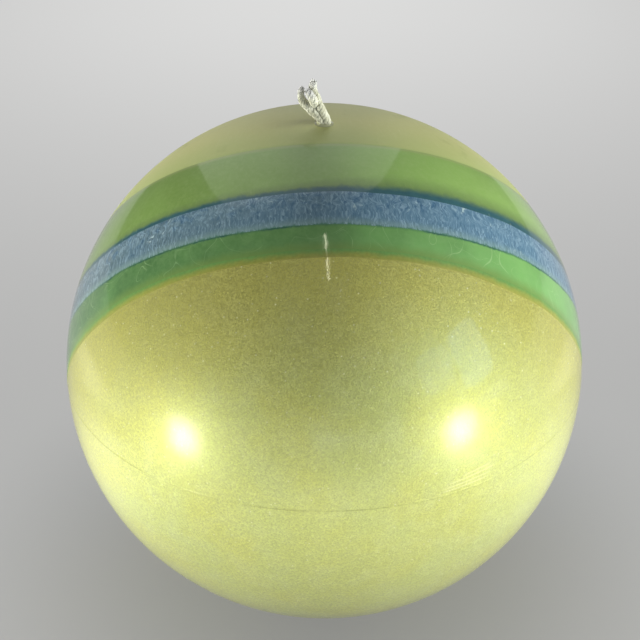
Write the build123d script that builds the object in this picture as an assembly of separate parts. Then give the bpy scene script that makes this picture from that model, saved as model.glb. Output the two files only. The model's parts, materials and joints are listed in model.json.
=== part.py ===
from build123d import *
import math
import os

# A layered ball candle. Millimetres, +Z up. The origin is the centre of the flat foot that it
# stands on. The wick rises along +Z through both poles, and the wax layers lean toward +Y.

# Driving dimensions
ball_radius = 40.0
foot_radius = 12.0  # where the sphere meets the plane of the foot
bore_radius = 1.0  # the hole in the wax that the wick fills
wick_foot_cover = 1.0  # wax under the wick's lower end
plait_radius = 0.38
plait_spacing = 0.45  # from the wick's axis to the middle of each plait
priming_radius = 0.84  # inside of the film of wax around the three plaits
collar_height = 0.9  # how far that film climbs the wick above the ball
collar_foot_radius = 1.7  # where it runs out over the ball

# Each pour set level while the mould leaned, so each boundary between two pours is a plane. A pour
# is given by the lean of the plane under it from level toward +Y, and by the latitude, about the
# axis of that lean, of the circle where the plane meets the ball. Both are in degrees.
first_pour = "pearl_wax_body"
later_pours = [
    ("olive_edge_layer", 60.3, -8.7),
    ("deep_green_layer", 60.3, -6.9),
    ("blue_frost_layer", 56.0, 2.7),
    ("navy_line_layer", 57.0, 9.6),
    ("light_green_layer", 57.0, 11.4),
    ("champagne_cap", 55.1, 26.0),
]

# Each plait: the direction of its place in the braid, in degrees from +X about the wick's axis,
# and the points that its free end bends through, to the right, back and up from the ball's top.
plaits = {
    "wick_plait_right": (-30.0, [(0, 0, 0.9), (-0.55, 0, 2.2), (-0.85, 0, 4.2), (-1.7, -0.1, 5.8), (-1.2, -0.1, 7.3)]),
    "wick_plait_left": (210.0, [(0, 0, 0.9), (-0.9, 0, 2.0), (-2.6, 0, 3.3), (-3.1, 0, 4.9), (-2.6, 0, 6.3)]),
    "wick_plait_back": (90.0, [(0, 0, 0.9), (-0.6, 0.3, 2.2), (-1.2, 0.9, 3.9), (-2.0, 1.3, 5.2)]),
}
bend_share = 0.45  # how much of the shorter run beside a bend the bend may use

# Worked out from the driving dimensions
centre_height = math.sqrt(ball_radius**2 - foot_radius**2)
top_height = centre_height + ball_radius
cutter_size = 4 * ball_radius  # more than the ball, for cutting it


def ball():
    return Pos(0, 0, centre_height) * Sphere(ball_radius)


def block_above(height):
    """A block over a level plane, large enough to hold the whole ball."""
    return Pos(0, 0, height + cutter_size / 2) * Box(cutter_size, cutter_size, cutter_size)


def above_pour(lean, latitude):
    """Everything on the upper side of the plane under a pour."""
    offset = ball_radius * math.sin(math.radians(latitude))
    return Pos(0, 0, centre_height) * Rot(-lean, 0, 0) * block_above(offset)


def rod_up_from_foot_cover(radius, top):
    """A round rod on the wick's axis, from the wick's lower end up to a height."""
    height = top - wick_foot_cover
    return Pos(0, 0, wick_foot_cover + height / 2) * Cylinder(radius, height)


def wax_layers():
    """The ball on its foot, with the hole for the wick, cut into its pours."""
    rest = ball() & block_above(0)
    rest -= rod_up_from_foot_cover(bore_radius, top_height + collar_height)
    layers = {}
    name = first_pour
    for next_name, lean, latitude in later_pours:
        above = above_pour(lean, latitude)
        layers[name] = rest - above
        rest = rest & above
        name = next_name
    layers[name] = rest
    return layers


def priming_coat():
    """The film of wax around the plaits, with the small collar that it makes above the ball."""
    lip = top_height + collar_height
    collar_depth = collar_height + 0.4  # reaches into the ball, which then trims it
    collar = Pos(0, 0, lip - collar_depth / 2) * Cone(collar_foot_radius, bore_radius, collar_depth)
    film = rod_up_from_foot_cover(bore_radius, lip) + (collar - ball())
    return film - rod_up_from_foot_cover(priming_radius, lip + collar_height)


def bend_radii(points):
    """The largest radius of each bend that the runs beside it leave room for."""
    radii = []
    for before, here, after in zip(points, points[1:], points[2:]):
        arriving = here - before
        leaving = after - here
        turn = math.radians(arriving.get_angle(leaving))
        shorter = min(arriving.length, leaving.length)
        radii.append(bend_share * shorter / math.tan(turn / 2))
    return radii


def wick_plait(direction, free_points):
    """One plait of the wick: straight through the ball, then bent like its trimmed end."""
    angle = math.radians(direction)
    place = Vector(plait_spacing * math.cos(angle), plait_spacing * math.sin(angle), 0)
    lower_end = place + Vector(0, 0, wick_foot_cover)
    free = [place + Vector(x, y, top_height + z) for x, y, z in free_points]
    points = [lower_end, *free]
    path = FilletPolyline(*points, radius=bend_radii(points))
    return sweep(Plane(lower_end, z_dir=(0, 0, 1)) * Circle(plait_radius), path)


def main():
    os.makedirs("parts", exist_ok=True)
    parts = wax_layers()
    parts["wick_priming_coat"] = priming_coat()
    for name, (direction, free_points) in plaits.items():
        parts[name] = wick_plait(direction, free_points)
    for name, shape in parts.items():
        solid = shape.solid()
        print(name, round(solid.volume, 2), "mm3")
        export_step(solid, f"parts/{name}.step")


main()
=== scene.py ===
import json
import math

import bmesh
import bpy
import numpy as np
from mathutils import Matrix, Vector, noise

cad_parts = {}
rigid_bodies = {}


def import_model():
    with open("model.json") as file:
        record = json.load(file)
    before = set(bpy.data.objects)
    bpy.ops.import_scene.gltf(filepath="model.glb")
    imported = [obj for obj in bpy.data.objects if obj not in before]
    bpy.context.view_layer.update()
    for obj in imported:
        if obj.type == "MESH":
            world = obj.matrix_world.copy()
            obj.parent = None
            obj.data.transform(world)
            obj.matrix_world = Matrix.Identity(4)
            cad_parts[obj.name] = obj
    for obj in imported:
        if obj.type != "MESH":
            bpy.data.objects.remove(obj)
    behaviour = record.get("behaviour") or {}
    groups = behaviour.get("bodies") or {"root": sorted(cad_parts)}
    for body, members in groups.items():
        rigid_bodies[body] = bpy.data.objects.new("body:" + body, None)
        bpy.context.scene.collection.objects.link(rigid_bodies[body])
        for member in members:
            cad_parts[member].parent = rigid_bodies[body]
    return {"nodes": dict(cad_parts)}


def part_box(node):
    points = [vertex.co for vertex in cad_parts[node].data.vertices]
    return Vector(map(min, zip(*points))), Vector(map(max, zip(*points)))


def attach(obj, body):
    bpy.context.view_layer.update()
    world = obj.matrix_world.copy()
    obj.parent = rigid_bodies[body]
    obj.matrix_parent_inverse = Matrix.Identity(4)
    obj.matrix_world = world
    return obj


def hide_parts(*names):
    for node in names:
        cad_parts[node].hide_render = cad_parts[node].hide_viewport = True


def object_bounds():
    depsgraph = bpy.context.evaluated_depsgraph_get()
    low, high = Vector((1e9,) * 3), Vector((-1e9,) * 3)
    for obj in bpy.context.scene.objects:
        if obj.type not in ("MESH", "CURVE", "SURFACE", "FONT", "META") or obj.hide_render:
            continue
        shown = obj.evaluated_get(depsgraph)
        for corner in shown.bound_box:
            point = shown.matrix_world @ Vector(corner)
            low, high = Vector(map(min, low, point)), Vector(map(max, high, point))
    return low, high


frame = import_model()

# A layered ball candle, in metres, in the CAD frame. A length written as a number times MM is in
# millimetres. The camera stands toward -Y, and the wax layers lean toward +Y.

cad_low, cad_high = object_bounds()
MM = 0.001

# ---------------------------------------------------------------- sizes from the frame

LAYERS = [
    "pearl_wax_body",
    "olive_edge_layer",
    "deep_green_layer",
    "blue_frost_layer",
    "navy_line_layer",
    "light_green_layer",
    "champagne_cap",
]
BALL_RADIUS = (cad_high.x - cad_low.x) / 2
BALL_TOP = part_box("champagne_cap")[1].z
CENTRE = Vector((0, 0, BALL_TOP - BALL_RADIUS))
FOOT_RADIUS = math.sqrt(BALL_RADIUS**2 - CENTRE.z**2)
BORE_RADIUS = 1.0 * MM


def upper_plane(node):
    """The flat top of a CAD layer: a point on it, and its upward normal."""
    mesh = frame["nodes"][node].data
    facing = {}
    for face in mesh.polygons:
        if face.normal.z > 0.2:
            key = tuple(round(x, 3) for x in face.normal)
            facing.setdefault(key, []).append(face)
    largest = max(facing.values(), key=lambda faces: sum(f.area for f in faces))
    return largest[0].center.copy(), largest[0].normal.copy()


UPPER_PLANES = {name: upper_plane(name) for name in LAYERS[:-1]}
LAYER_AXIS = UPPER_PLANES["deep_green_layer"][1]
LAYER_LEAN = math.atan2(LAYER_AXIS.y, LAYER_AXIS.z)
LAYER_FRONT = Vector((0, -LAYER_AXIS.z, LAYER_AXIS.y))  # square to the axis, up the front

# ---------------------------------------------------------------- camera

VIEW_AZIMUTH, VIEW_ELEVATION = math.radians(-1.9), math.radians(32.0)
VIEW_DISTANCE = 5.715 * BALL_RADIUS
AIM_ABOVE, AIM_LEFT = math.radians(1.56), math.radians(0.17)  # of the ball's centre


def toward(azimuth, elevation):
    """A direction from the ball. Azimuth 0 is toward the camera and 90 degrees is to its right."""
    turned = math.radians(azimuth) + VIEW_AZIMUTH
    risen = math.radians(elevation)
    level = math.cos(risen)
    return Vector((math.sin(turned) * level, -math.cos(turned) * level, math.sin(risen)))


def make_camera():
    data = bpy.data.cameras.new("camera")
    data.sensor_width = 36
    data.lens = 81.56
    data.clip_start, data.clip_end = 0.01, 50
    camera = bpy.data.objects.new("camera", data)
    bpy.context.scene.collection.objects.link(camera)
    outward = toward(0, math.degrees(VIEW_ELEVATION))
    camera.location = CENTRE + outward * VIEW_DISTANCE
    aim = (-outward).to_track_quat("-Z", "Y").to_matrix()
    aim = aim @ Matrix.Rotation(AIM_LEFT, 3, "Y") @ Matrix.Rotation(AIM_ABOVE, 3, "X")
    camera.rotation_euler = aim.to_euler()
    bpy.context.scene.camera = camera


make_camera()

# ---------------------------------------------------------------- shading nodes


def srgb(red, green, blue):
    """A colour as a screen shows it, each part from 0 to 255, in linear light."""
    parts = [(c / 255 + 0.055) / 1.055 for c in (red, green, blue)]
    return (*(part**2.4 for part in parts), 1.0)


class Finish:
    """A material being built. Each method adds nodes and returns the output socket."""

    def __init__(self, name, values):
        self.material = bpy.data.materials.new(name)
        self.material.use_nodes = True
        self.tree = self.material.node_tree
        self.shader = self.tree.nodes["Principled BSDF"]
        for socket, value in values.items():
            self.set(socket, value)
        place = self.add("ShaderNodeTexCoord").outputs["Object"]
        self.place = self.vector("SCALE", place, scale=1 / MM)  # in millimetres

    def add(self, kind, **settings):
        made = self.tree.nodes.new(kind)
        for name, value in settings.items():
            setattr(made, name, value)
        return made

    def feed(self, socket, value):
        if isinstance(value, bpy.types.NodeSocket):
            self.tree.links.new(value, socket)
        else:
            socket.default_value = value

    def set(self, name, value):
        self.feed(self.shader.inputs[name], value)

    def vector(self, operation, *values, scale=None):
        made = self.add("ShaderNodeVectorMath", operation=operation)
        for socket, value in zip(made.inputs, values):
            self.feed(socket, value)
        if scale is not None:
            self.feed(made.inputs["Scale"], scale)
        return made.outputs[0]

    def math(self, operation, *values):
        made = self.add("ShaderNodeMath", operation=operation)
        for socket, value in zip(made.inputs, values):
            self.feed(socket, value)
        return made.outputs[0]

    def ramp(self, value, low, high, start=0.0, end=1.0):
        """start below low, end above high, and a smooth change between them."""
        made = self.add("ShaderNodeMapRange", interpolation_type="SMOOTHSTEP")
        for socket, number in zip(made.inputs, (value, low, high, start, end)):
            self.feed(socket, number)
        return made.outputs[0]

    def mix(self, share, first, second, how="MIX"):
        made = self.add("ShaderNodeMix", data_type="RGBA", blend_type=how)
        self.feed(made.inputs[0], share)
        self.feed(made.inputs[6], first)
        self.feed(made.inputs[7], second)
        return made.outputs[2]

    def measure(self, name):
        """One of the lengths that a piece's mesh carries, in millimetres."""
        return self.add("ShaderNodeAttribute", attribute_name=name).outputs["Fac"]

    def noise(self, size, detail=3.0, rough=0.5, twist=0.0, at=None, seed=0.0):
        """Smooth noise from 0 to 1, with features about size millimetres across."""
        made = self.add("ShaderNodeTexNoise", noise_dimensions="4D")
        self.feed(made.inputs["Vector"], at or self.place)
        for socket, value in {"W": seed, "Scale": 1 / size, "Detail": detail, "Roughness": rough}.items():
            self.feed(made.inputs[socket], value)
        self.feed(made.inputs["Distortion"], twist)
        return made.outputs["Fac"]

    def cells(self, size, at=None, what="Color"):
        """One value for each of many cells about size millimetres across."""
        made = self.add("ShaderNodeTexVoronoi")
        self.feed(made.inputs["Vector"], at or self.place)
        self.feed(made.inputs["Scale"], 1 / size)
        return made.outputs[what]

    def unrolled(self):
        """How far round the layers' axis a place is, and how high along it, in millimetres."""
        from_centre = self.vector("SUBTRACT", self.place, CENTRE / MM)
        turned = self.add("ShaderNodeVectorRotate", rotation_type="X_AXIS")
        self.feed(turned.inputs["Vector"], from_centre)
        self.feed(turned.inputs["Angle"], LAYER_LEAN)
        parts = self.add("ShaderNodeSeparateXYZ")
        self.feed(parts.inputs[0], turned.outputs[0])
        x, y, z = parts.outputs
        around = self.math("MULTIPLY", self.math("ARCTAN2", x, self.math("MULTIPLY", y, -1.0)), BALL_RADIUS / MM)
        flat = self.add("ShaderNodeCombineXYZ")
        self.feed(flat.inputs[0], around)
        self.feed(flat.inputs[1], z)
        return flat.outputs[0]

    def rightward(self, start, end):
        """From 0 to 1 between two places round the ball's front, in millimetres to the right."""
        parts = self.add("ShaderNodeSeparateXYZ")
        self.feed(parts.inputs[0], self.unrolled())
        return self.ramp(parts.outputs[0], start, end)

    def swayed(self, at, size, reach):
        """Places moved about smoothly by up to half of reach, so that straight needles curl."""
        made = self.add("ShaderNodeTexNoise")
        self.feed(made.inputs["Vector"], at)
        self.feed(made.inputs["Scale"], 1 / size)
        drift = self.vector("SUBTRACT", made.outputs["Color"], (0.5, 0.5, 0.5))
        return self.vector("ADD", at, self.vector("SCALE", drift, scale=reach))

    def crystals(self, at, clump, width, length, slant, seed):
        """Clumps of needles from 0 to 1, which lean up to slant radians from upright."""
        moved = self.vector("ADD", at, (seed, seed, seed))
        lean = self.math("MULTIPLY", self.math("SUBTRACT", self.cells(clump, moved), 0.5), slant)
        turned = self.add("ShaderNodeVectorRotate", rotation_type="Z_AXIS")
        self.feed(turned.inputs["Vector"], moved)
        self.feed(turned.inputs["Angle"], lean)
        needles = self.vector("MULTIPLY", turned.outputs[0], (1 / width, 1 / length, 1))
        return self.noise(1.0, 2.0, 0.5, 0.25, at=needles, seed=seed)

    def hairline(self, field, width):
        """1 along the curving lines where a noise field passes through its middle value."""
        away = self.math("ABSOLUTE", self.math("SUBTRACT", field, 0.5))
        return self.ramp(away, 0.0, width, 1.0, 0.0)

    def bump(self, height, depth):
        """A normal for a surface whose height changes by up to depth millimetres."""
        made = self.add("ShaderNodeBump")
        self.feed(made.inputs["Height"], height)
        self.feed(made.inputs["Distance"], depth * MM)
        return made.outputs[0]


LACQUER = {"Coat Weight": 1.0, "Coat Roughness": 0.06, "Coat IOR": 1.45}


def wax(name, roughness, ripple=0.01):
    """Wax under clear lacquer, whose face ripples by up to ripple millimetres."""
    finish = Finish(name, {**LACQUER, "Roughness": roughness, "IOR": 1.44})
    finish.set("Coat Normal", finish.bump(finish.noise(3.0, 1.0), ripple))
    return finish


# ---------------------------------------------------------------- materials


def pearl_wax():
    """Yellow-green wax full of fine mica, which shines like satin, with painted glints of near-white here and there.
    """
    f = wax("pearl_wax", 0.36)
    f.set("Coat Weight", 0.9)
    clouds = f.noise(13.0, 2.0, 0.5, 0.6)
    patches = f.noise(3.4, 4.0, 0.6, 0.3, seed=3.0)
    grain = f.cells(0.17)
    flecks = f.noise(0.3, 2.0, 0.6, seed=7.0)
    colour = f.mix(f.ramp(clouds, 0.35, 0.65), srgb(218, 222, 130), srgb(214, 222, 138))
    colour = f.mix(f.ramp(patches, 0.35, 0.75, 0.0, 0.3), colour, srgb(228, 236, 172))
    # darker golden toward the top: a golden tint at the olive edge, and painted shade over the upper pearl
    colour = f.mix(f.ramp(f.measure("from_top"), 0.0, 22.0, 0.68, 0.0), colour, srgb(196, 189, 97))
    shade = f.math("MULTIPLY", f.ramp(grain, 0.0, 1.0, 0.82, 1.1), f.ramp(flecks, 0.25, 0.75, 0.84, 1.13))
    colour = f.mix(1.0, colour, shade, "MULTIPLY")
    patchy = f.ramp(f.noise(5.0, 2.0, seed=19.0), 0.35, 0.6, 0.12, 0.42)
    seam = f.math("MULTIPLY", f.hairline(f.math("ADD", f.measure("over_seam"), 0.5), 0.13), patchy)
    colour = f.mix(seam, colour, srgb(128, 130, 62))
    # painted highlight: the colour turns near-white along each trimming scratch, over its real groove
    colour = f.mix(f.math("MULTIPLY", f.measure("scratch_highlight"), 0.7), colour, srgb(250, 250, 186))
    # painted glints: small near-white spots stand in for the mica catching the light
    near = f.ramp(f.cells(0.6, what="Distance"), 0.0, 0.28, 1.0, 0.0)
    painted_glint = f.math("MULTIPLY", f.ramp(f.cells(0.6), 0.72, 0.78), near)
    colour = f.mix(painted_glint, colour, srgb(250, 252, 205))
    f.set("Base Color", colour)
    f.set("Metallic", f.ramp(flecks, 0.3, 0.7, 0.5, 0.75))
    f.set("Roughness", f.ramp(grain, 0.2, 0.9, 0.44, 0.56))
    f.set("Normal", f.bump(f.math("ADD", grain, flecks), 0.012))
    return f.material


def olive_wax():
    """The thin olive skin between the pearl body and the green, which melts into the green."""
    f = wax("olive_wax", 0.4)
    f.set("Coat Weight", f.ramp(f.measure("from_bottom"), 0.3, 1.6, 0.1, 1.0))
    drift = f.math("SUBTRACT", f.noise(1.4, 4.0, 0.6), 0.5)
    height = f.math("ADD", f.measure("from_bottom"), drift)
    colour = f.mix(f.noise(2.5, 3.0), srgb(112, 118, 54), srgb(128, 130, 62))
    colour = f.mix(f.ramp(f.measure("from_bottom"), 0.0, 0.22, 0.5, 0.0), colour, srgb(146, 140, 74))
    colour = f.mix(f.ramp(height, 0.2, 1.25), colour, srgb(86, 122, 64))
    colour = f.mix(1.0, colour, f.ramp(f.noise(0.4, 3.0, 0.6), 0.3, 0.7, 0.9, 1.08), "MULTIPLY")
    f.set("Base Color", colour)
    f.set("Normal", f.bump(f.noise(0.5, 3.0), 0.01))
    return f.material


def deep_green_wax():
    """Green wax with pale veins as fine as hair, and a dark line where it meets the blue."""
    f = wax("deep_green_wax", 0.38, 0.025)
    # painted side light: the green is lighter toward the right and darker toward the left
    pale = f.math("ADD", f.rightward(-40.0, 45.0), f.math("SUBTRACT", f.noise(7.0, 3.0, 0.55), 0.5))
    colour = f.mix(pale, srgb(62, 94, 54), srgb(100, 144, 80))
    colour = f.mix(f.ramp(f.noise(0.8, 4.0, 0.65, seed=2.0), 0.3, 0.75, 0.0, 0.25), colour, srgb(114, 146, 94))
    colour = f.mix(f.ramp(f.noise(2.2, 3.0, 0.6, seed=21.0), 0.62, 0.75, 0.0, 0.35), colour, srgb(44, 94, 61))
    veins = f.math(
        "MAXIMUM",
        f.hairline(f.noise(7.0, 0.0, 0.5, 0.6, seed=5.0), 0.0045),
        f.hairline(f.noise(4.5, 0.6, 0.5, 0.6, seed=9.0), 0.006),
    )
    shown = f.ramp(f.noise(4.0, 2.0, seed=12.0), 0.38, 0.6, 0.05, 0.32)
    veins = f.math("MULTIPLY", veins, shown)
    colour = f.mix(veins, colour, srgb(166, 190, 142))
    ragged = f.math("MULTIPLY", f.noise(0.5, 3.0, seed=4.0), 0.5)
    depth = f.math("ADD", f.measure("from_top"), ragged)
    broken = f.ramp(f.noise(7.0, 2.0, seed=31.0), 0.42, 0.56, 0.3, 0.9)
    line = f.math("MULTIPLY", f.ramp(depth, 0.25, 0.65, 1.0, 0.0), broken)
    colour = f.mix(line, colour, srgb(28, 66, 66))
    height = f.math("ADD", f.measure("from_bottom"), f.math("SUBTRACT", f.noise(1.4, 4.0, 0.6), 0.5))
    colour = f.mix(f.ramp(height, -0.4, 1.6, 0.9, 0.0), colour, srgb(94, 118, 60))
    f.set("Base Color", colour)
    f.set("Normal", f.bump(veins, 0.01))
    return f.material


def blue_frost_wax():
    """Blue wax that froze into leaning needles, upright like a comb along its lower edge."""
    f = wax("blue_frost_wax", 0.4, 0.025)
    at = f.unrolled()
    height = f.measure("from_bottom")
    curled = f.swayed(at, 2.0, 2.6)
    leaning = f.crystals(curled, 1.9, 0.38, 1.7, 1.3, 3.0)
    crossed = f.crystals(curled, 1.3, 0.30, 1.5, 2.0, 11.0)
    comb = f.crystals(f.swayed(at, 1.5, 0.8), 0.9, 0.27, 2.4, 0.5, 23.0)
    upper = f.ramp(height, 1.8, 3.8)
    needles = f.math("MAXIMUM", leaning, crossed)
    lower = f.math("SUBTRACT", 1.0, upper)
    frost = f.math("ADD", f.math("MULTIPLY", needles, upper), f.math("MULTIPLY", comb, lower))
    mottled = f.math("SUBTRACT", f.noise(6.0, 2.0, seed=17.0), 0.5)
    # painted side light: the blue is bluer and a little lighter toward the right
    colour = f.mix(f.math("ADD", f.rightward(-45.0, 15.0), mottled), srgb(79, 97, 100), srgb(76, 105, 122))
    pockets = f.ramp(f.noise(1.5, 2.0, 0.5, 1.2, seed=11.0), 0.5, 0.62, 0.0, 0.65)
    colour = f.mix(f.math("MULTIPLY", pockets, upper), colour, srgb(46, 80, 106))
    colour = f.mix(f.ramp(frost, 0.46, 0.7, 0.0, 0.66), colour, srgb(124, 148, 158))
    colour = f.mix(f.ramp(frost, 0.3, 0.5, 0.7, 0.0), colour, srgb(50, 78, 98))
    tips = f.ramp(f.math("MULTIPLY", leaning, f.noise(2.6, 1.0, seed=41.0)), 0.38, 0.48, 0.0, 0.6)
    colour = f.mix(tips, colour, srgb(166, 182, 176))
    edge = f.math("ADD", height, f.math("MULTIPLY", f.math("SUBTRACT", comb, 0.5), 1.2))
    colour = f.mix(f.ramp(edge, 0.0, 1.6, 0.55, 0.0), colour, srgb(112, 136, 126))
    colour = f.mix(f.ramp(edge, -0.1, 0.3, 0.9, 0.0), colour, srgb(60, 100, 78))
    f.set("Base Color", colour)
    f.set("Roughness", f.ramp(frost, 0.3, 0.7, 0.5, 0.34))
    f.set("Normal", f.bump(frost, 0.03))
    return f.material


def stain(f, ragged):
    """How strongly the navy shows at a place over its line, which is thinner to the left."""
    place = f.add("ShaderNodeSeparateXYZ")
    f.feed(place.inputs[0], f.unrolled())
    reach = f.ramp(place.outputs[0], -8.0, 16.0, 0.55, 1.1)
    height = f.math("ADD", f.measure("over_blue"), f.math("MULTIPLY", f.math("SUBTRACT", ragged, 0.5), 1.1))
    return f.ramp(f.math("DIVIDE", height, reach), 0.5, 1.8, 1.0, 0.0), f.ramp(f.math("DIVIDE", height, reach), 0.8, 4.0, 1.0, 0.0)


def green_over_navy(name):
    """Clear light green wax, stained by the navy line below it in a ragged fringe."""
    f = wax(name, 0.36)
    at = f.unrolled()
    around = f.add("ShaderNodeSeparateXYZ")
    f.feed(around.inputs[0], at)
    # painted side light: the green is lighter toward the right and darker toward the left
    deep = f.math("ADD", f.ramp(around.outputs[0], -28.0, 20.0), f.math("SUBTRACT", f.noise(9.0, 3.0, 0.5), 0.5))
    colour = f.mix(deep, srgb(98, 124, 60), srgb(119, 150, 78))
    colour = f.mix(f.ramp(f.noise(0.6, 4.0, 0.7, seed=1.0), 0.35, 0.8, 0.0, 0.2), colour, srgb(152, 167, 119))
    core, fringe = stain(f, f.noise(1.2, 4.0, 0.6))
    colour = f.mix(f.math("MULTIPLY", fringe, 0.85), colour, srgb(88, 108, 66))
    colour = f.mix(core, colour, f.mix(f.noise(1.2, 4.0, 0.6, seed=8.0), srgb(36, 66, 74), srgb(54, 90, 92)))
    drips = f.ramp(f.crystals(at, 3.0, 0.35, 3.0, 0.2, 8.0), 0.66, 0.74)
    colour = f.mix(f.math("MULTIPLY", f.math("MULTIPLY", drips, fringe), 0.45), colour, srgb(150, 160, 124))
    return f, colour


def navy_wax():
    """The dark blue line over the frosted blue, which bleeds into the green over it."""
    f, colour = green_over_navy("navy_wax")
    f.set("Base Color", colour)
    return f.material


def light_green_wax():
    """The light green pour, whose upper edge yellows where the champagne pour melted it."""
    f, colour = green_over_navy("light_green_wax")
    colour = f.mix(f.ramp(f.measure("from_top"), 0.0, 0.9, 0.55, 0.0), colour, srgb(142, 146, 98))
    f.set("Base Color", colour)
    return f.material


def champagne_wax():
    """Beige wax with a little green in it, and a few darker smudges from handling."""
    f = wax("champagne_wax", 0.55)
    f.set("Coat Weight", 0.45)
    f.set("Coat Roughness", 0.4)
    f.set("Specular IOR Level", 0.3)
    at = f.unrolled()
    colour = f.mix(f.noise(10.0, 3.0, 0.5, seed=2.0), srgb(172, 169, 107), srgb(160, 166, 111))
    colour = f.mix(f.ramp(f.noise(0.8, 4.0, 0.7), 0.35, 0.8, 0.0, 0.2), colour, srgb(187, 187, 137))
    colour = f.mix(f.ramp(f.crystals(at, 2.5, 0.5, 5.0, 0.3, 5.0), 0.55, 0.75, 0.0, 0.25), colour, srgb(182, 183, 133))
    smudges = f.ramp(f.noise(4.5, 3.0, 0.6, 0.5, seed=14.0), 0.6, 0.72, 0.0, 0.35)
    colour = f.mix(smudges, colour, srgb(126, 131, 73))
    colour = f.mix(f.ramp(f.measure("from_bottom"), 0.0, 7.0, 0.4, 0.0), colour, srgb(134, 155, 96))
    ragged = f.math("ADD", f.measure("from_bottom"), f.math("MULTIPLY", f.noise(0.7, 3.0, seed=6.0), 0.6))
    colour = f.mix(f.ramp(ragged, 0.1, 0.8, 0.6, 0.0), colour, srgb(126, 155, 83))
    f.set("Base Color", colour)
    f.set("Metallic", 0.1)
    f.set("Normal", f.bump(f.noise(0.6, 3.0), 0.008))
    return f.material


def wick_cotton():
    """Cream cotton yarn, stiff with wax, with painted shade between its fibres and painted shade that greys its cut
    ends.
    """
    f = Finish("wick_cotton", {"Roughness": 0.5, "IOR": 1.45})
    fibres = f.noise(0.16, 3.0, 0.6, 0.6)
    colour = f.mix(f.ramp(f.noise(1.1, 2.0), 0.3, 0.7), srgb(160, 160, 136), srgb(190, 191, 170))
    # painted shade: darker between the fibres
    colour = f.mix(f.ramp(fibres, 0.25, 0.5, 0.2, 0.0), colour, srgb(130, 128, 106))
    # painted shade: the yarn turns grey toward its cut ends
    colour = f.mix(f.ramp(f.measure("to_end"), 0.5, 2.2, 0.75, 0.0), colour, srgb(172, 172, 170))
    f.set("Base Color", colour)
    f.set("Normal", f.bump(fibres, 0.015))
    return f.material


def wick_wax():
    """The grey skin of wax round the foot of the wick."""
    f = wax("wick_wax", 0.35, 0.05)
    colour = f.mix(f.noise(0.9, 3.0), srgb(142, 142, 106), srgb(152, 154, 124))
    f.set("Base Color", colour)
    f.set("Normal", f.bump(f.noise(0.5, 2.0), 0.04))
    return f.material


MAKE_WAX = {
    "pearl_wax_body": ("pearl_wax", pearl_wax),
    "olive_edge_layer": ("olive_wax", olive_wax),
    "deep_green_layer": ("deep_green_wax", deep_green_wax),
    "blue_frost_layer": ("blue_frost_wax", blue_frost_wax),
    "navy_line_layer": ("navy_wax", navy_wax),
    "light_green_layer": ("light_green_wax", light_green_wax),
    "champagne_cap": ("champagne_wax", champagne_wax),
}

# ---------------------------------------------------------------- the ball of wax

COLUMNS = 600
ROW_STEP = 0.5 * MM
SEAM_HEIGHT = 1.08 * MM  # of the mould's parting line over the ball's centre
SEAM_RIDGE, SEAM_WIDTH, SEAM_STEP = 0.035 * MM, 0.10 * MM, 0.012 * MM
FINE_FROM, FINE_TO, FINE_STEP = 0.6 * MM, 4.1 * MM, 0.07 * MM  # rows at the seam and scratches
BORE_DEPTH = 4 * MM

# Trimming scratches beside the seam: azimuth from, azimuth to, height from, height to, depth
SCRATCHES = [
    (23.2, 34.5, 1.67, 1.92, 0.013),
    (23.5, 34.7, 2.15, 2.50, 0.014),
    (24.3, 36.3, 2.68, 3.30, 0.015),
    (27.9, 35.3, 3.35, 3.90, 0.012),
]


def profile():
    """Radius and height of each row of the ball, from the middle of the foot to the bore."""
    edge = 0.7 * MM
    rows = [(FOOT_RADIUS - edge - inward, 0.0) for inward in np.linspace(FOOT_RADIUS - 2 * edge, 0, 14)]
    rows += [(FOOT_RADIUS - 0.35 * edge, 0.02 * MM), (FOOT_RADIUS - 0.05 * edge, 0.10 * MM)]
    heights = [0.35 * MM]
    angle = math.asin((heights[0] - CENTRE.z) / BALL_RADIUS)
    last = math.pi / 2 - BORE_RADIUS * 1.1 / BALL_RADIUS
    fine = (CENTRE.z + FINE_FROM, CENTRE.z + FINE_TO)
    while angle < last:
        height = CENTRE.z + BALL_RADIUS * math.sin(angle)
        rows.append((BALL_RADIUS * math.cos(angle), height))
        radius = BALL_RADIUS * math.cos(angle)
        step = FINE_STEP if fine[0] < height < fine[1] else min(ROW_STEP, 0.12 * MM + radius * 0.12)
        angle += step / BALL_RADIUS
    top = BALL_TOP
    rows += [(BORE_RADIUS * 1.03, top - 0.03 * MM), (BORE_RADIUS, top - 0.12 * MM)]
    rows += [(BORE_RADIUS, top - depth) for depth in np.linspace(1 * MM, BORE_DEPTH, 4)]
    rows += [(BORE_RADIUS / 2, top - BORE_DEPTH)]
    return rows


def scratches(azimuth, height):
    """For each scratch: its depth, how strong it is at a place, and how far away in its widths."""
    for start, end, low, high, depth in SCRATCHES:
        along = (azimuth - start) / (end - start)
        if -0.1 < along < 1.1:
            line = (low + (high - low) * along) * MM
            fade = min(1, max(0, 8 * along)) * min(1, max(0, 8 * (1 - along)))
            yield depth * MM, fade, (height - line) / (0.07 * MM)


def relief(azimuth, height, direction):
    """How far the wax stands out from a true ball at a place on it."""
    above_seam = height - SEAM_HEIGHT
    patchy = 0.55 + 0.9 * noise.noise(direction * 5)
    out = SEAM_RIDGE * max(patchy, 0.12) * math.exp(-((above_seam / SEAM_WIDTH) ** 2))
    out -= SEAM_STEP * math.tanh(above_seam / SEAM_WIDTH)
    out += 0.05 * MM * noise.noise(direction * 1.7 + Vector((5, 0, 0)))
    out += 0.012 * MM * noise.noise(direction * 6 + Vector((0, 9, 0)))
    for depth, fade, away in scratches(azimuth, height):
        out += depth * fade * (0.8 * math.exp(-((away - 1.5) ** 2)) - math.exp(-(away**2)))
    return out


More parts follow.
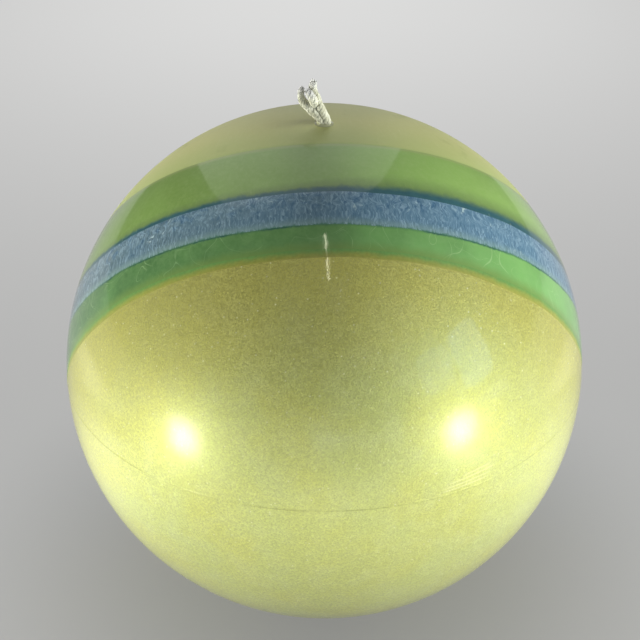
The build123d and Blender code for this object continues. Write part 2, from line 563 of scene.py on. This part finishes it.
def ball_mesh():
    """The whole ball with its foot, seam and scratches, as one closed surface."""
    rows = profile()
    points = [Vector((0, 0, 0))]
    for radius, height in rows:
        for column in range(COLUMNS):
            turn = 2 * math.pi * column / COLUMNS
            point = Vector((radius * math.sin(turn), -radius * math.cos(turn), height))
            outward = point - CENTRE
            if abs(outward.length - BALL_RADIUS) < 0.02 * MM:
                direction = outward.normalized()
                azimuth = math.degrees(turn - 2 * math.pi * (turn > math.pi) - VIEW_AZIMUTH)
                point += direction * relief(azimuth, outward.z, direction)
            points.append(point)
    points.append(Vector((0, 0, BALL_TOP - BORE_DEPTH)))
    faces = []
    for column in range(COLUMNS):
        beside = (column + 1) % COLUMNS
        faces.append((0, 1 + beside, 1 + column))
        for row in range(len(rows) - 1):
            low, high = 1 + row * COLUMNS, 1 + (row + 1) * COLUMNS
            faces.append((low + column, low + beside, high + beside, high + column))
        last = 1 + (len(rows) - 1) * COLUMNS
        faces.append((last + column, last + beside, len(points) - 1))
    mesh = bpy.data.meshes.new("whole_ball")
    mesh.from_pydata(points, [], faces)
    mesh.shade_smooth()
    return mesh


def remember_normals(bm):
    """Stores each corner's smooth normal, which a cut then carries to the new corners."""
    layer = bm.verts.layers.float_vector.new("smooth_normal")
    for vert in bm.verts:
        vert[layer] = vert.normal
    return layer


def cut(bm, plane, keep_above):
    """Cuts the ball at a pour's plane and closes it there with a face fanned from its middle."""
    point, normal = plane
    everything = bm.verts[:] + bm.edges[:] + bm.faces[:]
    made = bmesh.ops.bisect_plane(
        bm, geom=everything, plane_co=point, plane_no=normal, dist=1e-8,
        clear_inner=keep_above, clear_outer=not keep_above,
    )
    rim = [item for item in made["geom_cut"] if isinstance(item, bmesh.types.BMEdge)]
    lid = bmesh.ops.contextual_create(bm, geom=rim)["faces"]
    outward = -normal if keep_above else normal
    for face in lid:
        face.normal_update()
        if face.normal.dot(outward) < 0:
            face.normal_flip()
    bmesh.ops.inset_region(bm, faces=lid, thickness=1.5 * MM)
    bmesh.ops.poke(bm, faces=lid)


def pour_wave(turn, height):
    """How far the set layers wander from level at a place round the layers' axis."""
    ripple = 0.05 * math.sin(9 * turn + 1) + 0.035 * math.sin(16 * turn + 2) + 0.025 * math.sin(29 * turn)
    roll = -0.16 * math.sin(2.2 * turn) - 0.45 * math.exp(-(((turn - 0.70) / 0.11) ** 2))
    near_pearl = math.exp(-(((height + 6.0) / 5.0) ** 2))
    return (ripple + roll * near_pearl) * MM


def settle(mesh):
    """Moves a layer's corners round the ball by the wave of its pours."""
    for vert in mesh.vertices:
        outward = vert.co - CENTRE
        turn = math.atan2(outward.x, outward.dot(LAYER_FRONT))
        height = outward.dot(LAYER_AXIS)
        share = math.exp(-((height / (14 * MM)) ** 2))
        swing = outward.cross(LAYER_AXIS)
        if swing.length > 1 * MM:
            angle = pour_wave(turn, height / MM) * share / BALL_RADIUS
            vert.co = CENTRE + Matrix.Rotation(angle, 3, swing) @ outward


def store(mesh, name, values):
    mesh.attributes.new(name, "FLOAT", "POINT").data.foreach_set("value", values)


def layer_piece(name, whole):
    """One pour of the ball, closed, with its distances from the pours beside it."""
    bm = bmesh.new()
    bm.from_mesh(whole)
    layer = remember_normals(bm)
    below = UPPER_PLANES[LAYERS[LAYERS.index(name) - 1]] if name != LAYERS[0] else None
    above = UPPER_PLANES.get(name)
    for plane, keep_above in ((below, True), (above, False)):
        if plane:
            cut(bm, plane, keep_above)
    bm.verts.ensure_lookup_table()
    normals = [vert[layer].copy() for vert in bm.verts]
    mesh = bpy.data.meshes.new(name)
    bm.to_mesh(mesh)
    bm.free()
    places = np.array([vert.co for vert in mesh.vertices])
    for attribute, plane, sign in (("from_bottom", below, 1), ("from_top", above, -1)):
        if plane:
            store(mesh, attribute, (places - np.array(plane[0])) @ np.array(plane[1]) * sign / MM)
    if name == LAYERS[0]:
        store(mesh, "over_seam", (places[:, 2] - CENTRE.z - SEAM_HEIGHT) / MM)
        # how strongly the painted highlight of the trimming scratches shows at each corner
        scratch_highlights = []
        for x, y, z in places:
            azimuth = math.degrees(math.atan2(x, -y) - VIEW_AZIMUTH)
            near = abs(azimuth) < 45 and FINE_FROM < z - CENTRE.z < FINE_TO
            marks = scratches(azimuth, z - CENTRE.z) if near else ()
            scratch_highlights.append(max((fade * math.exp(-(away**2) / 2) for _, fade, away in marks), default=0.0))
        store(mesh, "scratch_highlight", scratch_highlights)
    if name in ("navy_line_layer", "light_green_layer"):
        point, normal = UPPER_PLANES["blue_frost_layer"]
        store(mesh, "over_blue", (places - np.array(point)) @ np.array(normal) / MM)
    settle(mesh)
    flat_normals = [Vector() for _ in mesh.loops]
    for face in mesh.polygons:
        for index in face.loop_indices:
            smooth = normals[mesh.loops[index].vertex_index]
            flat_normals[index] = smooth if smooth.dot(face.normal) > 0.8 else face.normal.copy()
    mesh.shade_smooth()
    mesh.normals_split_custom_set(flat_normals)
    slot, make = MAKE_WAX[name]
    return add_piece(name + "_wax", mesh, make(), slot, name)


def add_piece(name, mesh, material, slot, *nodes):
    mesh.materials.append(material)
    piece = bpy.data.objects.new(name, mesh)
    bpy.context.scene.collection.objects.link(piece)
    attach(piece, "root")
    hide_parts(*nodes)
    return piece


whole_ball = ball_mesh()
for layer_name in LAYERS:
    layer_piece(layer_name, whole_ball)
bpy.data.meshes.remove(whole_ball)

# ---------------------------------------------------------------- the wick

# Each plait's path from inside the ball, then free above it: to the right of the ball's top, behind
# it, above it, and the plait's radius there
PLAITS = {
    "wick_plait_right": [
        (0.35, -0.20, -4.0, 0.40), (0.35, -0.20, -0.5, 0.42), (0.45, -0.50, 0.45, 0.54), (-0.03, -0.60, 1.3, 0.70),
        (-0.53, -0.55, 2.3, 0.76), (-0.89, -0.40, 3.2, 0.72), (-1.15, -0.15, 4.1, 0.58), (-1.50, 0.00, 5.0, 0.50),
        (-1.60, 0.05, 5.8, 0.56), (-1.35, 0.00, 6.5, 0.52),
    ],
    "wick_plait_left": [
        (-0.35, -0.20, -4.0, 0.40), (-0.35, -0.20, -0.5, 0.42), (-0.25, -0.45, 0.45, 0.56), (-0.75, -0.55, 1.2, 0.74),
        (-1.37, -0.55, 2.0, 0.82), (-2.20, -0.45, 2.7, 0.74), (-2.95, -0.30, 3.4, 0.64), (-3.33, -0.20, 4.2, 0.52),
        (-3.30, -0.15, 5.0, 0.46), (-3.10, -0.15, 5.6, 0.38),
    ],
    "wick_plait_back": [
        (0.00, 0.40, -4.0, 0.40), (0.00, 0.40, -0.5, 0.42), (0.05, 0.10, 0.45, 0.52), (-0.70, 0.05, 1.3, 0.72),
        (-1.30, -0.15, 2.3, 0.76), (-1.50, -0.60, 3.3, 0.72), (-1.70, -0.95, 4.2, 0.64), (-2.15, -0.85, 4.9, 0.54),
        (-2.60, -0.65, 5.4, 0.42),
    ],
}
YARNS = 5  # in each plait
YARN_TWIST = 2.4 * MM  # for one full turn
RING = 8  # corners round a yarn


def smooth_path(knots, count):
    """Points on a smooth curve through the knots, evenly spread between them."""
    path = []
    knots = [np.array(knot) for knot in knots]
    for step in range(count):
        at = step / (count - 1) * (len(knots) - 1)
        index = min(int(at), len(knots) - 2)
        t = at - index
        before, here = knots[max(index - 1, 0)], knots[index]
        after, last = knots[index + 1], knots[min(index + 2, len(knots) - 1)]
        bend = 2 * here + (after - before) * t + (2 * before - 5 * here + 4 * after - last) * t * t
        path.append(0.5 * (bend + (3 * here - before - 3 * after + last) * t**3))
    return path


def add_tube(bm, centres, radii):
    """A round closed tube along a path, pointed where its radius is small."""
    rings, side = [], Vector((0, 1, 0))
    for index, (centre, radius) in enumerate(zip(centres, radii)):
        along = (centres[min(index + 1, len(centres) - 1)] - centres[max(index - 1, 0)]).normalized()
        side = (side - along * side.dot(along)).normalized()
        other = along.cross(side)
        turns = [2 * math.pi * corner / RING for corner in range(RING)]
        rings.append([bm.verts.new(centre + (side * math.cos(t) + other * math.sin(t)) * radius) for t in turns])
    for low, high in zip(rings, rings[1:]):
        for corner in range(RING):
            beside = (corner + 1) % RING
            bm.faces.new((low[corner], low[beside], high[beside], high[corner]))
    bm.faces.new(rings[0][::-1])
    bm.faces.new(rings[-1])


def plait_piece(name, knots, seed):
    """One plait of twisted yarns, whose fibres stand apart at its trimmed end."""
    bm = bmesh.new()
    path = smooth_path(knots, 110)
    top = Vector((0, 0, BALL_TOP))
    centres = [top + Vector(point[:3]) * MM for point in path]
    thickness = [point[3] * MM for point in path]
    length = 0.0
    lengths = [0.0]
    for here, there in zip(centres, centres[1:]):
        length += (there - here).length
        lengths.append(length)
    for yarn in range(YARNS):
        line, radii, side = [], [], Vector((0, 1, 0))
        for index, centre in enumerate(centres):
            along = (centres[min(index + 1, len(centres) - 1)] - centres[max(index - 1, 0)]).normalized()
            side = (side - along * side.dot(along)).normalized()
            other = along.cross(side)
            turn = 2 * math.pi * (yarn / YARNS + lengths[index] / YARN_TWIST)
            ahead = (length - lengths[index]) / MM
            splay = 1 + 0.35 * max(0, 1 - ahead / 1.2)
            wobble = noise.noise_vector(centre * 900 + Vector((seed, yarn * 7, 0))) * 0.10 * MM
            reach = thickness[index] * 0.52 * splay
            line.append(centre + (side * math.cos(turn) + other * math.sin(turn)) * reach + wobble)
            taper = min(1.0, 0.25 + ahead / 0.9)
            radii.append(thickness[index] * 0.50 * taper)
        add_tube(bm, line, radii)
        for fibre in range(3):
            start = line[-12 + 3 * fibre]
            away = (line[-1] - centres[-1]).normalized() + (line[-1] - line[-6]).normalized() * 1.5
            bend = noise.noise_vector(Vector((seed * 3.1, yarn * 5.3, fibre * 2.7)))
            reach = (0.2 + 0.4 * abs(bend.x)) * MM
            hair = [start + (away.normalized() + bend * s) * reach * s for s in (0.0, 0.25, 0.5, 0.75, 1.0)]
            add_tube(bm, hair, [0.06 * MM, 0.055 * MM, 0.05 * MM, 0.04 * MM, 0.025 * MM])
    mesh = bpy.data.meshes.new(name)
    bm.to_mesh(mesh)
    bm.free()
    mesh.shade_smooth()
    store(mesh, "to_end", [(path[-1][2] + 0.5) - (vert.co.z - BALL_TOP) / MM for vert in mesh.vertices])
    return add_piece(name + "_cotton", mesh, COTTON, "wick_cotton", name)


def wick_collar():
    """The skin of wax round the wick's foot, with the small collar that it makes on the ball."""
    outside = [
        (0.98, -3.6), (0.98, -0.3), (1.00, -0.09), (1.36, -0.065), (1.38, -0.035), (1.30, -0.005), (1.16, 0.05),
        (1.05, 0.16), (1.00, 0.32), (0.97, 0.52), (0.95, 0.72), (0.92, 0.92), (0.86, 1.02),
    ]
    inside = [(0.80, 0.96), (0.78, 0.6), (0.78, 0.0), (0.78, -3.6)]
    columns = 64
    points, faces = [], []
    loop = outside + inside
    for column in range(columns):
        turn = 2 * math.pi * column / columns
        around = Vector((math.cos(turn), math.sin(turn), 0))
        for radius, height in loop:
            risen = max(0.0, height)
            uneven = noise.noise(around * 1.3 + Vector((0, 0, height * 1.5))) if -0.06 < height < 0.95 else 0.0
            reach = (radius + 0.14 * uneven * min(1, risen * 4 + 0.6)) * MM
            lift = 0.22 * noise.noise(around * 1.1 + Vector((7, 0, 0))) * min(1, risen) if height > 0.4 else 0.0
            points.append(around * reach + Vector((-0.22 * risen * MM, 0, BALL_TOP + (height + lift) * MM)))
    for column in range(columns):
        here, beside = column * len(loop), (column + 1) % columns * len(loop)
        for index in range(len(loop)):
            following = (index + 1) % len(loop)
            faces.append((here + index, beside + index, beside + following, here + following))
    mesh = bpy.data.meshes.new("wick_collar")
    mesh.from_pydata(points, [], faces)
    mesh.shade_smooth()
    return add_piece("wick_priming_coat_wax", mesh, wick_wax(), "wick_wax", "wick_priming_coat")


COTTON = wick_cotton()
for number, (plait_name, plait_knots) in enumerate(PLAITS.items()):
    plait_piece(plait_name, plait_knots, number + 1)
wick_collar()

# ---------------------------------------------------------------- floor and light

FLOOR_GLOW = {"near": 0.43, "far": 0.67, "in_ball": 0.39}  # as seen beside, behind and in the ball
BRIGHT_SPOT = Vector((6, 300, 0))  # the middle of the floor's painted pool of light, in millimetres


def make_floor():
    reach = 8.0
    mesh = bpy.data.meshes.new("floor")
    corners = [(-reach, -reach, 0), (reach, -reach, 0), (reach, reach, 0), (-reach, reach, 0)]
    mesh.from_pydata(corners, [], [(0, 1, 2, 3)])
    finish = Finish("floor", {"Roughness": 0.8, "Specular IOR Level": 0.1})
    finish.set("Base Color", srgb(104, 104, 103))
    finish.set("Emission Color", srgb(255, 255, 254))
    away = finish.add("ShaderNodeVectorMath", operation="DISTANCE")
    finish.feed(away.inputs[0], finish.place)
    finish.feed(away.inputs[1], BRIGHT_SPOT)
    # painted pool of light: the floor glows brighter toward BRIGHT_SPOT behind the ball
    pool = finish.ramp(away.outputs["Value"], 0.0, 285.0, FLOOR_GLOW["far"], FLOOR_GLOW["near"])
    seen = finish.add("ShaderNodeLightPath").outputs["Is Camera Ray"]
    glow = finish.ramp(seen, 0.0, 1.0, FLOOR_GLOW["in_ball"], pool)
    under = finish.add("ShaderNodeVectorMath", operation="LENGTH")
    finish.feed(under.inputs[0], finish.place)
    # painted shadow: the floor's own glow dims within 70 mm of the ball's foot
    shade = finish.ramp(under.outputs["Value"], 12.0, 70.0, 0.55, 1.0)
    finish.set("Emission Strength", finish.math("MULTIPLY", glow, shade))
    mesh.materials.append(finish.material)
    floor = bpy.data.objects.new("floor", mesh)
    bpy.context.scene.collection.objects.link(floor)


CANDLE = bpy.data.collections.new("candle")  # what the lights light, which keeps the floor plain
for piece in bpy.context.scene.objects:
    if piece.name.endswith(("_wax", "_cotton")):
        CANDLE.objects.link(piece)


def panel(name, place, width, height, radiance, colour=(1, 1, 1), fill=False):
    """A flat light that faces the ball, given by how bright its face is. The lacquer shows no
    image of a fill."""
    data = bpy.data.lights.new(name, "AREA")
    data.shape = "RECTANGLE"
    data.size, data.size_y = width, height
    data.energy = radiance * math.pi * width * height
    data.color = colour
    light = bpy.data.objects.new(name, data)
    bpy.context.scene.collection.objects.link(light)
    light.location = place
    light.rotation_euler = (place - CENTRE).to_track_quat("Z", "Y").to_euler()
    light.visible_camera = False
    light.visible_glossy = not fill
    light.light_linking.receiver_collection = CANDLE
    return light


def lamp(name, place, radius, radiance, colour=(1, 1, 1)):
    """A round light that faces the ball and fades smoothly from its middle to its edge."""
    light = panel(name, place, 2 * radius, 2 * radius, radiance, colour)
    light.data.shape = "DISK"
    light.data.use_nodes = True
    tree = light.data.node_tree
    where = tree.nodes.new("ShaderNodeNewGeometry").outputs["Parametric"]
    away = tree.nodes.new("ShaderNodeVectorMath")
    away.operation = "DISTANCE"
    away.inputs[1].default_value = (0.5, 0.5, 0)
    tree.links.new(where, away.inputs[0])
    fade = tree.nodes.new("ShaderNodeMapRange")
    fade.interpolation_type = "SMOOTHSTEP"
    for socket, value in zip(fade.inputs[1:5], (0.0, 0.5, 1.0, 0.0)):
        socket.default_value = value
    tree.links.new(away.outputs["Value"], fade.inputs[0])
    tree.links.new(fade.outputs[0], tree.nodes["Emission"].inputs["Strength"])
    return light


def make_world():
    world = bpy.data.worlds.new("world")
    bpy.context.scene.world = world
    world.use_nodes = True
    tree = world.node_tree
    tree.nodes["Background"].inputs["Color"].default_value = (0.95, 0.98, 1.0, 1)
    strength = tree.nodes.new("ShaderNodeMapRange")
    strength.inputs["To Min"].default_value = 0.04  # the dim room that lights the ball
    strength.inputs["To Max"].default_value = 0.62  # the pale backdrop that the view ends in
    tree.links.new(tree.nodes.new("ShaderNodeLightPath").outputs["Is Camera Ray"], strength.inputs["Value"])
    tree.links.new(strength.outputs[0], tree.nodes["Background"].inputs["Strength"])


def rounded(light, power):
    """Rounds a panel's corners, more gently for a lower power."""
    light.data.use_nodes = True
    tree = light.data.node_tree
    reach = []
    parts = tree.nodes.new("ShaderNodeSeparateXYZ")
    tree.links.new(tree.nodes.new("ShaderNodeNewGeometry").outputs["Parametric"], parts.inputs[0])
    for part in parts.outputs[:2]:
        value = part
        for operation, number in (("SUBTRACT", 0.5), ("ABSOLUTE", 0.0), ("MULTIPLY", 2.0), ("POWER", power)):
            step = tree.nodes.new("ShaderNodeMath")
            step.operation = operation
            step.inputs[1].default_value = number
            tree.links.new(value, step.inputs[0])
            value = step.outputs[0]
        reach.append(value)
    total = tree.nodes.new("ShaderNodeMath")
    for value, socket in zip(reach, total.inputs):
        tree.links.new(value, socket)
    inside = tree.nodes.new("ShaderNodeMath")
    inside.operation = "LESS_THAN"
    inside.inputs[1].default_value = 1.0
    tree.links.new(total.outputs[0], inside.inputs[0])
    tree.links.new(inside.outputs[0], tree.nodes["Emission"].inputs["Strength"])


def back_panel(radiance):
    """The pale wall that leans over the ball from behind, and shows as a grey veil on it."""
    light = panel("back_wall", Vector((-0.058, 0.668, 0.356)), 0.635, 1.18, radiance)
    tilt = Matrix.Rotation(math.radians(-33), 3, "X") @ Matrix.Rotation(math.radians(-5), 3, "Z")
    light.rotation_euler = tilt.to_euler()
    light.light_linking.receiver_collection = None
    rounded(light, 6.0)
    return light


def fill(name, azimuth, elevation, distance, size, strength):
    """A light that only softens shadows, given by how strongly it lights the ball."""
    radiance = strength * distance**2 / size**2
    return panel(name, CENTRE + toward(azimuth, elevation) * distance, size, size, radiance, fill=True)


make_floor()
make_world()
back_panel(0.65)
lamp("left_lamp", CENTRE + Vector((-96.8, -76.6, -11.5)) * MM, 22 * MM, 12.9)
lamp("right_lamp", CENTRE + Vector((89.2, -86.1, -3.5)) * MM, 22 * MM, 11.3)
lamp("front_lamp", CENTRE + toward(0, 0) * 0.45, 0.13, 0.42)
panel("ceiling_tube", CENTRE + toward(4.5, 74) * 0.6, 0.003, 0.21, 30.0, (1.0, 0.97, 0.72))
for side, azimuth, elevation, width, height, radiance in (
    ("right", 66, 17, 0.108, 0.15, 2.4),
    ("left", 48.5, 18.5, 0.1, 0.11, 1.5),
):
    place = CENTRE + toward(azimuth, elevation) * 0.386
    rounded(panel(side + "_window", place, width, height, radiance, (0.35, 0.6, 1.0)), 6.0)
for side, x, y, reach, radiance in (
    ("left", -84, -8, 55, 0.68),
    ("right", 82, -8, 55, 0.38),
    ("front", -3, -115, 95, 0.65),
    ("left_back", -165, 36, 75, 0.85),
    ("right_back", 143, 34, 70, 0.5),
):
    glow = lamp(side + "_glow", Vector((x, y, 1)) * MM, reach * MM, radiance, (1.0, 1.0, 0.8))
    glow.rotation_euler = (math.pi, 0, 0)
fill("left_fill", -80, -3, 0.5, 0.08, 9.0)
fill("right_fill", 79, -3, 0.5, 0.08, 8.8)
fill("right_high_fill", 70, 35, 0.6, 0.3, 1.3)
fill("back_fill", 180, 35, 0.6, 0.3, 0.5)
fill("front_high_fill", 0, 60, 0.6, 0.3, 0.7)
bpy.context.scene.view_settings.view_transform = "Standard"
